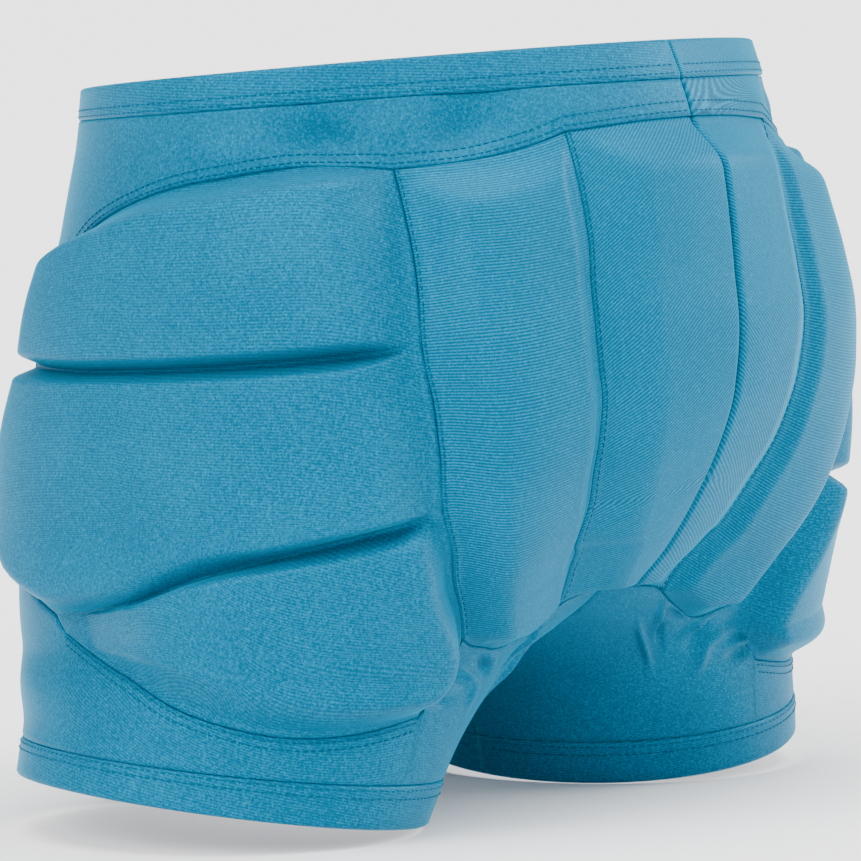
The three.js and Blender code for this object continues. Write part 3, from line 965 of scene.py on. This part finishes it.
            faces.append((last, last + 3, last + 4, last + 5))
        return self.piece(name, side, np.array(points), np.array(faces), [self.finishes.thread])

    def offset(self, line: Array, distance: float) -> Array:
        """Line of places moved sideways, to the lower side for a line that runs to the back.

        Args:
            line: Places in order.
            distance: Distance in millimetres, negative to the upper side.

        Returns:
            The moved line.
        """
        scale = np.array([MM_PER_DEGREE, 1.0])
        flat = resample(line, even(300)) * scale
        forward = np.gradient(flat, axis=0)
        forward /= np.linalg.norm(forward, axis=1, keepdims=True) + 1e-9
        sideways = np.stack([-forward[:, 1], forward[:, 0]], axis=-1)
        return (flat + sideways * distance) / scale


@dataclass
class HipGuard:
    """The hip panel: three foam pads, one under the other, with grooves between them."""

    shop: Workshop
    columns: int = 150
    upper_rows: int = 56
    middle_rows: int = 64
    lower_rows: int = 76
    pad_height: float = 18.0
    corner_share: float = 0.88
    back_share: float = 0.62
    top_flank: tuple[float, ...] = (1.5, 11.0)
    low_flank: tuple[float, ...] = (3.0, 12.0)
    groove_flank: tuple[float, ...] = (0.3, 5.0, 0.3)
    front_flanks: tuple[tuple[float, float], ...] = ((3.0, 26.0), (3.0, 26.0), (22.0, 62.0))
    back_flanks: tuple[tuple[float, float], ...] = ((2.5, 25.0), (2.5, 25.0), (2.5, 14.0))
    crown: float = 0.06
    crown_ends: float = 0.96
    lining_inset: float = 4.0

    def blocks(self) -> list[Panel]:
        """Places of the three blocks.

        Returns:
            The upper, middle and lower panels.
        """
        s, across = self.shop.seams, even(self.columns)
        corner, back = int(self.middle_rows * self.corner_share), int(self.lower_rows * self.back_share)
        first, second = curve(s.first_groove(), across), curve(s.second_groove(), across)
        front_middle = join(
            curve(s.hip_front_lower(), even(corner)),
            curve(s.hip_front_turn(), even(self.middle_rows - corner)),
        )
        back_lower = join(
            curve(s.hip_back_lower(), even(back)), curve(s.hip_back_end(), even(self.lower_rows - back))
        )
        upper = fill(
            curve(s.hip_top(), across),
            first,
            curve(s.hip_front_upper(), even(self.upper_rows)),
            curve(s.hip_back_upper(), even(self.upper_rows)),
        )
        middle = fill(first, second, front_middle, curve(s.hip_back_middle(), even(self.middle_rows)))
        low_front = curve([s.hip_low_corner, s.lower_seam()[0]], even(self.lower_rows))
        lower = fill(second, curve(s.lower_seam(), across), low_front, back_lower)
        return [Panel(self.shop.form, grid) for grid in (upper, middle, lower)]

    def relief(self, blocks: list[Panel]) -> list[Array]:
        """Heights of the pads over each block.

        Args:
            blocks: The upper, middle and lower panels.

        Returns:
            Heights above the cloth's resting height.
        """
        heights = []
        for k, block in enumerate(blocks):
            top, bottom, front, back = block.edges()
            sides = [
                bevel(top, *(self.top_flank if k == 0 else self.groove_flank)),
                bevel(bottom, *(self.low_flank if k == 2 else self.groove_flank)),
                bevel(front, *self.front_flanks[k]),
                bevel(back, *self.back_flanks[k]),
            ]
            share = soft_least(sides, CREST_BLEND)
            crown = self.crown * np.sin(np.pi * np.clip(top / (top + bottom + 1e-6), 0, 1))
            heights.append(self.pad_height * share * (self.crown_ends + crown))
        return heights

    def build(self) -> None:
        """Makes the covers, pads and linings of both hips."""
        blocks = self.blocks()
        reliefs = self.relief(blocks)
        grid = join(*(block.grid for block in blocks))
        relief = np.vstack([reliefs[0], *(r[1:] for r in reliefs[1:])])
        panel = Panel(self.shop.form, grid).drawn_in(SEAM_GAP)
        high = panel.rolled(CLOTH_HIGH + blurred(relief, BLUR_ROUNDS))
        for side in Side:
            cover = self.shop.cloth("hip_cover", side, panel, high - COVER, high, self.shop.finishes.plain)
            for name, block, heights in zip(("upper", "middle", "lower"), blocks, reliefs):
                self.shop.pad(f"hip_foam_{name}", f"hip_pad_{name}", side, block, heights)
            lining = self.shop.lining("hip_lining", side, panel.drawn_in(self.lining_inset))
        log.info("hip guards: cover, three pads and lining on each side")


@dataclass
class SeatGuard:
    """The seat: an outer and an inner padded panel on each side of the centre-back seam."""

    shop: Workshop
    columns: int = 84
    rows: int = 190
    outer_height: float = 12.5
    outer_inner_height: float = 6.0
    inner_height: float = 10.5
    centre_height: float = 13.5
    outer_flanks: tuple[tuple[float, float], ...] = ((3.0, 19.0), (2.0, 13.0), (4.0, 20.0), (2.5, 8.0))
    inner_flanks: tuple[tuple[float, float], ...] = ((2.0, 20.0), (1.0, 12.0), (3.0, 23.0))
    centre_dip: float = 0.8
    centre_dip_width: float = 1.6
    lining_inset: float = 3.0

    def panels(self) -> tuple[Panel, Panel]:
        """Places of the outer and inner panels."""
        s, form, down, across = self.shop.seams, self.shop.form, even(self.rows), even(self.columns)
        depths = np.linspace(s.yoke_centre_depth, s.seat_centre_low_depth, self.rows + 1)
        centre = np.stack([form.centre_turn(depths, 1), depths], axis=-1)
        seat_seam = curve(s.seat_seam(), down)
        hip_back = s.hip_back_upper() + s.hip_back_middle()[1:] + s.hip_back_lower()[1:]
        outer = fill(
            curve(s.outer_seat_top(), across),
            curve(s.outer_seat_end(), across),
            curve(hip_back, down),
            seat_seam,
        )
        top = curve([s.seat_seam_top, s.yoke_over_seat, tuple(centre[0])], across)
        end = curve([s.seat_seam_low, s.seat_end, tuple(centre[-1])], across)
        inner = fill(top, end, seat_seam, centre)
        return Panel(form, outer), Panel(form, inner)

    def outer_relief(self, panel: Panel) -> Array:
        """Heights of the outer pad: high by the hip, falling towards the inner panel."""
        edges = panel.edges()
        front, back = edges[2:]
        tilt = front / (front + back + 1e-6)
        crest = self.outer_height + (self.outer_inner_height - self.outer_height) * smooth(0.3, 0.95, tilt)
        sides = [bevel(edge, *flank) for edge, flank in zip(edges, self.outer_flanks)]
        return crest * soft_least(sides, CREST_BLEND)

    def inner_relief(self, panel: Panel) -> Array:
        """Heights of the inner pad: a flank beside the seat seam, then rising to the centre seam."""
        edges = panel.edges()
        front, back = edges[2:]
        near_centre = front / (front + back + 1e-6)
        crest = self.inner_height + (self.centre_height - self.inner_height) * smooth(0.2, 1.0, near_centre)
        sides = [bevel(edge, *flank) for edge, flank in zip(edges, self.inner_flanks)]
        dip = self.centre_dip * (1 - smooth(0, self.centre_dip_width, back))
        return crest * soft_least(sides, CREST_BLEND) - dip

    def build(self) -> None:
        """Makes the covers, pads and linings of the seat."""
        outer, inner = self.panels()
        reliefs = {"outer": self.outer_relief(outer), "inner": self.inner_relief(inner)}
        finishes = self.shop.finishes
        both = Panel(self.shop.form, np.concatenate([outer.grid, inner.grid[:, 1:]], axis=1))
        for side in Side:
            for name, panel in (("outer", outer), ("inner", inner)):
                drawn = panel.drawn_in(SEAM_GAP)
                high = drawn.rolled(CLOTH_HIGH + blurred(reliefs[name], BLUR_ROUNDS))
                finish = finishes.ribbed if name == "outer" else finishes.chevron[side]
                cover = self.shop.cloth(f"{name}_seat_cover", side, drawn, high - COVER, high, finish)
                self.shop.pad(f"{name}_seat_foam", f"{name}_seat_pad", side, panel, reliefs[name])
            lining = self.shop.lining("seat_lining", side, both.drawn_in(self.lining_inset))
        log.info("seat guards: two covers, two pads and lining on each side")


@dataclass
class Yoke:
    """The plain cloth between the waistband and the pads, and down the front."""

    shop: Workshop
    fineness: int = 10
    rows: int = 44
    dents: tuple[Dent, ...] = (
        Dent(29, 32, -6.2, 14, 8, 12),
        Dent(50, 30, -6.4, 16, 8, -14),
        Dent(40, 30, 1.6, 12, 6),
        Dent(12, 34, 1.0, 26, 6),
        Dent(66, 27, 0.8, 14, 5),
    )

    def edges(self) -> tuple[Array, Array]:
        """The yoke's outer edge, by the waist and the centre front, and its inner edge."""
        s, form, k = self.shop.seams, self.shop.form, self.fineness
        depths = np.linspace(s.front_centre_low_depth, s.waist_seam, 7 * k + 1)
        front = np.stack([form.centre_turn(depths, -1), depths], axis=-1)
        ends = [(form.centre_at(s.waist_seam, side), s.waist_seam) for side in (-1, 1)]
        waist = curve(ends, even(20 * k))
        centre = form.centre_at(s.yoke_centre_depth, 1)
        inner = join(
            curve(s.hip_front_lower()[::-1], even(5 * k)),
            curve(s.hip_front_upper()[::-1], even(4 * k)),
            curve(s.hip_top(), even(9 * k)),
            curve(s.outer_seat_top(), even(4 * k)),
            curve([s.seat_seam_top, s.yoke_over_seat, (centre, s.yoke_centre_depth)], even(5 * k)),
        )
        return join(front, waist), inner

    def build(self) -> None:
        """Makes both halves of the yoke."""
        outer, inner = self.edges()
        panel = Panel(self.shop.form, between(outer, inner, self.rows)).drawn_in(SEAM_GAP)
        high = panel.rolled(np.full(panel.grid.shape[:2], CLOTH_HIGH), 0.5)
        for dent in self.dents:
            high = high + dent.at(panel.grid)
        for side in Side:
            finish = self.shop.finishes.waist[side]
            cloth = self.shop.cloth("yoke", side, panel, high - COVER, high, finish)
        log.info("yoke: plain cloth on each side")


@dataclass
class LegPanel:
    """The plain leg tube under the pads, creased below the seat."""

    shop: Workshop
    fineness: int = 6
    rows: int = 54
    evening: float = 0.42
    creases: tuple[Dent, ...] = (
        Dent(97, 232, 3.4, 17, 1.5, 14),
        Dent(99, 235.5, -3.0, 18, 1.7, 16),
        Dent(96, 239, 2.7, 15, 1.6, 10),
        Dent(108, 228, 3.6, 13, 1.4, 28),
        Dent(110, 232, -3.0, 13, 1.6, 30),
        Dent(90, 243, 2.3, 12, 1.7, 4),
        Dent(92, 247, -2.0, 14, 2.2, 6),
        Dent(104, 245, 2.0, 13, 2.2, 22),
        Dent(118, 238, 2.6, 11, 1.9, 40),
        Dent(102, 226.5, -2.6, 9, 1.6, -12),
    )

    def top(self) -> Array:
        """The panel's top edge, from the inside leg round the front to the inside leg again."""
        s, form, k = self.shop.seams, self.shop.form, self.fineness
        low, depth = s.front_centre_low_depth, s.seat_centre_low_depth
        front_turn, back_turn = form.centre_at(low, -1), form.centre_at(depth, 1)
        front_crotch = np.linspace(-s.inside_leg, front_turn, 4 * k + 1)
        back_crotch = np.linspace(back_turn, s.inside_leg, 4 * k + 1)
        crotch = [
            np.stack([turns, form.crotch_depth(turns, depth - 1.2, s.hem_seam)], axis=-1)
            for turns in (front_crotch, back_crotch)
        ]
        crotch[0][-1, 1], crotch[1][0, 1] = low, depth
        return join(
            crotch[0],
            curve([(front_turn, low), s.front_corner], even(5 * k)),
            curve(s.hip_front_turn(), even(2 * k)),
            curve([s.hip_low_corner, s.lower_seam()[0]], even(k)),
            curve(s.lower_seam(), even(13 * k)),
            curve(s.hip_back_end()[::-1], even(3 * k)),
            curve(s.outer_seat_end(), even(8 * k)),
            curve([s.seat_seam_low, s.seat_end, (back_turn, depth)], even(8 * k)),
            crotch[1],
        )

    def build(self) -> None:
        """Makes both leg panels."""
        s, top = self.shop.seams, self.top()
        corner = 25 * self.fineness
        before = np.linspace(-s.inside_leg, s.leg_back_corner[0] + 2, corner + 1)
        after = np.linspace(s.leg_back_corner[0] + 2, s.inside_leg, len(top) - corner)
        spread = np.concatenate([before, after[1:]])
        turns = top[:, 0] + (spread - top[:, 0]) * self.evening
        bottom = np.stack([turns, np.full(len(top), s.hem_seam)], axis=-1)
        panel = Panel(self.shop.form, between(top, bottom, self.rows)).drawn_in(SEAM_GAP)
        edges = panel.edges()
        high = np.full(panel.grid.shape[:2], CLOTH_HIGH)
        settle = smooth(0, 5, np.minimum(edges[0], edges[1]))
        for crease in self.creases:
            high = high + crease.at(panel.grid) * settle
        high = panel.rolled(high, 0.5)
        for side in Side:
            cloth = self.shop.cloth("leg_panel", side, panel, high - COVER, high, self.shop.finishes.plain)
        log.info("leg panels: one on each side")


@dataclass
class Bands:
    """The turned-over waistband and leg hems."""

    shop: Workshop
    waist_columns: int = 220
    hem_columns: int = 200
    rows: int = 14
    fold_width: float = 1.3
    fold_least: float = 0.25
    seam_turn: float = 0.5
    seam_turn_width: float = 1.6

    def build(self) -> None:
        """Makes the waistband and the hems of both legs."""
        s, form = self.shop.seams, self.shop.form
        ends = [(form.centre_at(s.waist_seam, side), s.waist_seam) for side in (-1, 1)]
        seam = curve(ends, even(self.waist_columns))
        edge = np.stack([seam[:, 0], np.full(len(seam), s.waist_edge)], axis=-1)
        hem_top = curve([(-s.inside_leg, s.hem_seam), (s.inside_leg, s.hem_seam)], even(self.hem_columns))
        hem_low = np.stack([hem_top[:, 0], np.full(len(hem_top), s.hem_edge)], axis=-1)
        waist = Panel(form, between(edge, seam, self.rows))
        hem = Panel(form, between(hem_top, hem_low, self.rows))
        finishes = self.shop.finishes
        self.band("waistband", waist, finishes.waist, 0)
        self.band("leg_hem", hem, dict.fromkeys(Side, finishes.plain), 1)
        log.info("waistband and leg hems")

    def band(
        self,
        name: str,
        panel: Panel,
        outer: dict[Side, bpy.types.Material],
        free_edge: int,
    ) -> None:
        """Makes a folded band, with a rounded fold at its free edge.

        Args:
            name: The band's name.
            panel: Its places.
            outer: Its outer finish on each side.
            free_edge: 0 if the fold is the top edge, 1 if it is the bottom one.
        """
        drawn = panel.drawn_in(SEAM_GAP)
        edges = drawn.edges()
        fold = np.sqrt(np.clip(1 - (1 - np.clip(edges[free_edge] / self.fold_width, 0, 1)) ** 2, 0, 1))
        middle = LINING + BAND / 2
        half = (BAND / 2) * (self.fold_least + (1 - self.fold_least) * fold)
        high, low = middle + half, middle - half
        high = high - self.seam_turn * (1 - smooth(0, self.seam_turn_width, edges[1 - free_edge]))
        for side in Side:
            cloth = self.shop.cloth(name, side, drawn, low, high, outer[side])


@dataclass
class Stitching:
    """Rows of tone-on-tone stitches beside the seams."""

    shop: Workshop
    near: float = 1.7
    far: float = 4.6
    beside_pads: float = 1.6
    waist_rows: tuple[float, float] = (4.4, 1.6)
    waist_turns: tuple[float, float] = (-88.0, 88.5)
    hem_turns: tuple[float, float] = (-176.0, 176.0)

    def build(self) -> None:
        """Makes every row on both halves."""
        s, form, shop = self.shop.seams, self.shop.form, self.shop
        yoke_seam = join(
            curve(s.hip_front_upper()[::-1], even(60)),
            curve(s.hip_top(), even(200)),
            curve(s.outer_seat_top(), even(80)),
            curve([s.seat_seam_top, s.yoke_over_seat, (89.0, s.yoke_centre_depth)], even(80)),
        )
        front_seam = curve(s.hip_front_lower(), even(100))
        low_seam = curve(s.lower_seam(), even(200))
        hip_back = s.hip_back_upper() + s.hip_back_middle()[1:] + s.hip_back_lower()[1:]
        hip_seat, seat = curve(hip_back, even(200)), curve(s.seat_seam(), even(200))
        upper, lower = self.waist_rows
        waist, hem = self.waist_turns, self.hem_turns
        low_band, high_band = LINING + BAND - 0.15, LINING + BAND
        rows = {
            "yoke_stitch_near": (shop.offset(yoke_seam, -self.near), CLOTH_HIGH),
            "yoke_stitch_far": (shop.offset(yoke_seam, -self.far), CLOTH_HIGH),
            "front_stitch": (shop.offset(front_seam, self.near), CLOTH_HIGH),
            "lower_stitch_near": (shop.offset(low_seam, self.near), CLOTH_HIGH),
            "lower_stitch_far": (shop.offset(low_seam, self.far), CLOTH_HIGH),
            "hip_seat_stitch": (shop.offset(hip_seat, -self.beside_pads), CLOTH_HIGH - 0.05),
            "seat_stitch": (shop.offset(seat, -self.beside_pads), CLOTH_HIGH - 0.05),
            "waist_stitch_upper": (self.level(waist, s.waist_seam - upper), high_band),
            "waist_stitch_lower": (self.level(waist, s.waist_seam - lower), low_band),
            "hem_stitch_upper": (self.level(hem, s.hem_seam + self.near), low_band),
            "hem_stitch_lower": (self.level(hem, s.hem_seam + self.far), high_band),
        }
        for side in Side:
            for name, (line, height) in rows.items():
                dents = Yoke.dents if name.startswith("yoke") else ()
                row = shop.stitches(name, side, line, height, dents)
        log.info("stitching: %d rows on each side", len(rows))

    @staticmethod
    def level(ends: tuple[float, float], depth: float) -> Array:
        """A row of places at one depth, between two turns."""
        turns = np.linspace(*ends, 200)
        return np.stack([turns, np.full(len(turns), depth)], axis=-1)


@dataclass(frozen=True)
class Studio:
    """The floor, the lights and the camera."""

    azimuth: float = 131.0
    elevation: float = 5.0
    roll: float = 0.016
    distance: float = 2.6
    aim: tuple[float, float, float] = (0.0, 0.0, -0.145)
    lens: float = 266.3
    shift_x: float = 0.0075
    shift_y: float = -0.011
    ambient: float = 0.75
    floor_rings: int = 30
    floor_spokes: int = 72
    floor_radius: float = 60.0
    lamps: tuple[tuple[str, float, float, float, float], ...] = (
        ("key", -4.0, 34.0, 3.2, 35.0),
        ("rim", 146.0, 24.0, 3.0, 35.0),
        ("fill", 72.0, 7.0, 1.7, 60.0),
        ("top", 60.0, 84.0, 4.6, 60.0),
    )

    def build(self) -> None:
        """Makes the floor, the lights and the camera."""
        self.floor()
        world = bpy.data.worlds.new("studio")
        bpy.context.scene.world = world
        world.use_nodes = True
        background = world.node_tree.nodes["Background"]
        background.inputs["Color"].default_value = (1.0, 1.0, 1.0, 1.0)
        background.inputs["Strength"].default_value = self.ambient
        for name, turn, height, strength, softness in self.lamps:
            self.light(name, turn, height, strength, softness)
        self.camera()
        log.info("floor, lights and camera")

    def floor(self) -> None:
        """Makes a pale floor that falls away gently at its rim."""
        rings, spokes, radius = self.floor_rings, self.floor_spokes, self.floor_radius
        level = CAD_LOW.z - 0.0005
        points = [(0.0, 0.0, level)]
        for ring in range(1, rings + 1):
            reach = radius * (ring / rings) ** 2
            sink = 0.02 * max(0.0, ring / rings - 0.9)
            for k in range(spokes):
                angle = 2 * math.pi * k / spokes
                points.append((reach * math.cos(angle), reach * math.sin(angle), level - sink))
        faces: list[tuple[int, ...]] = [(0, 1 + k, 1 + (k + 1) % spokes) for k in range(spokes)]
        for ring in range(rings - 1):
            a = 1 + ring * spokes
            for k in range(spokes):
                following = (k + 1) % spokes
                faces.append((a + k, a + spokes + k, a + spokes + following, a + following))
        mesh = bpy.data.meshes.new("floor")
        mesh.from_pydata(points, [], faces)
        floor = bpy.data.objects.new("floor", mesh)
        bpy.context.scene.collection.objects.link(floor)
        material = bpy.data.materials.new("pale_floor")
        material.use_nodes = True
        nodes, links = material.node_tree.nodes, material.node_tree.links
        shader = nodes["Principled BSDF"]
        shader.inputs["Roughness"].default_value = 0.9
        noise = nodes.new("ShaderNodeTexNoise")
        noise.inputs["Scale"].default_value = 3.0
        ramp = nodes.new("ShaderNodeValToRGB")
        ramp.color_ramp.elements[0].color = (0.93, 0.93, 0.93, 1)
        ramp.color_ramp.elements[1].color = (0.96, 0.96, 0.96, 1)
        links.new(noise.outputs["Fac"], ramp.inputs["Fac"])
        links.new(ramp.outputs["Color"], shader.inputs["Base Color"])
        mesh.materials.append(material)

    def light(self, name: str, turn: float, height: float, strength: float, softness: float) -> None:
        """Makes a broad soft light.

        Args:
            name: Its name.
            turn: Where it shines from, in degrees: 0 the wearer's left, 90 behind.
            height: How high it shines from, in degrees.
            strength: Its strength in watts per square metre.
            softness: How wide it looks, in degrees.
        """
        data = bpy.data.lights.new(name, "SUN")
        data.energy, data.angle = strength, math.radians(softness)
        lamp = bpy.data.objects.new(name, data)
        t, h = math.radians(turn), math.radians(height)
        source = Vector((math.cos(t) * math.cos(h), math.sin(t) * math.cos(h), math.sin(h)))
        lamp.location = source * 3.0
        lamp.rotation_euler = (-source).to_track_quat("-Z", "Y").to_euler()
        bpy.context.scene.collection.objects.link(lamp)

    def camera(self) -> None:
        """Makes the camera, behind the wearer's left hip."""
        a, e = math.radians(self.azimuth), math.radians(self.elevation)
        back = Vector((math.sin(a) * math.cos(e), -math.cos(a) * math.cos(e), math.sin(e)))
        data = bpy.data.cameras.new("camera")
        data.lens, data.sensor_width = self.lens, 36.0
        data.shift_x, data.shift_y = self.shift_x, self.shift_y
        data.dof.use_dof = False
        camera = bpy.data.objects.new("camera", data)
        bpy.context.scene.collection.objects.link(camera)
        turned = (-back).to_track_quat("-Z", "Y").to_matrix().to_4x4() @ Matrix.Rotation(-self.roll, 4, "Z")
        camera.matrix_world = Matrix.Translation(Vector(self.aim) + back * self.distance) @ turned
        bpy.context.scene.camera = camera


def write_sizes() -> None:
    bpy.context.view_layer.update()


def main() -> None:
    """Builds the shorts piece by piece, then the studio."""
    logging.basicConfig(level=logging.INFO, format="%(message)s")
    shop = Workshop(Form(), Seams(), Wardrobe.made())
    Studio().build()
    for part in (HipGuard, SeatGuard, Yoke, LegPanel, Bands, Stitching):
        part(shop).build()
    write_sizes()
    log.info("%d pieces in all", len(shop.made))


if __name__ == "__main__":
    main()
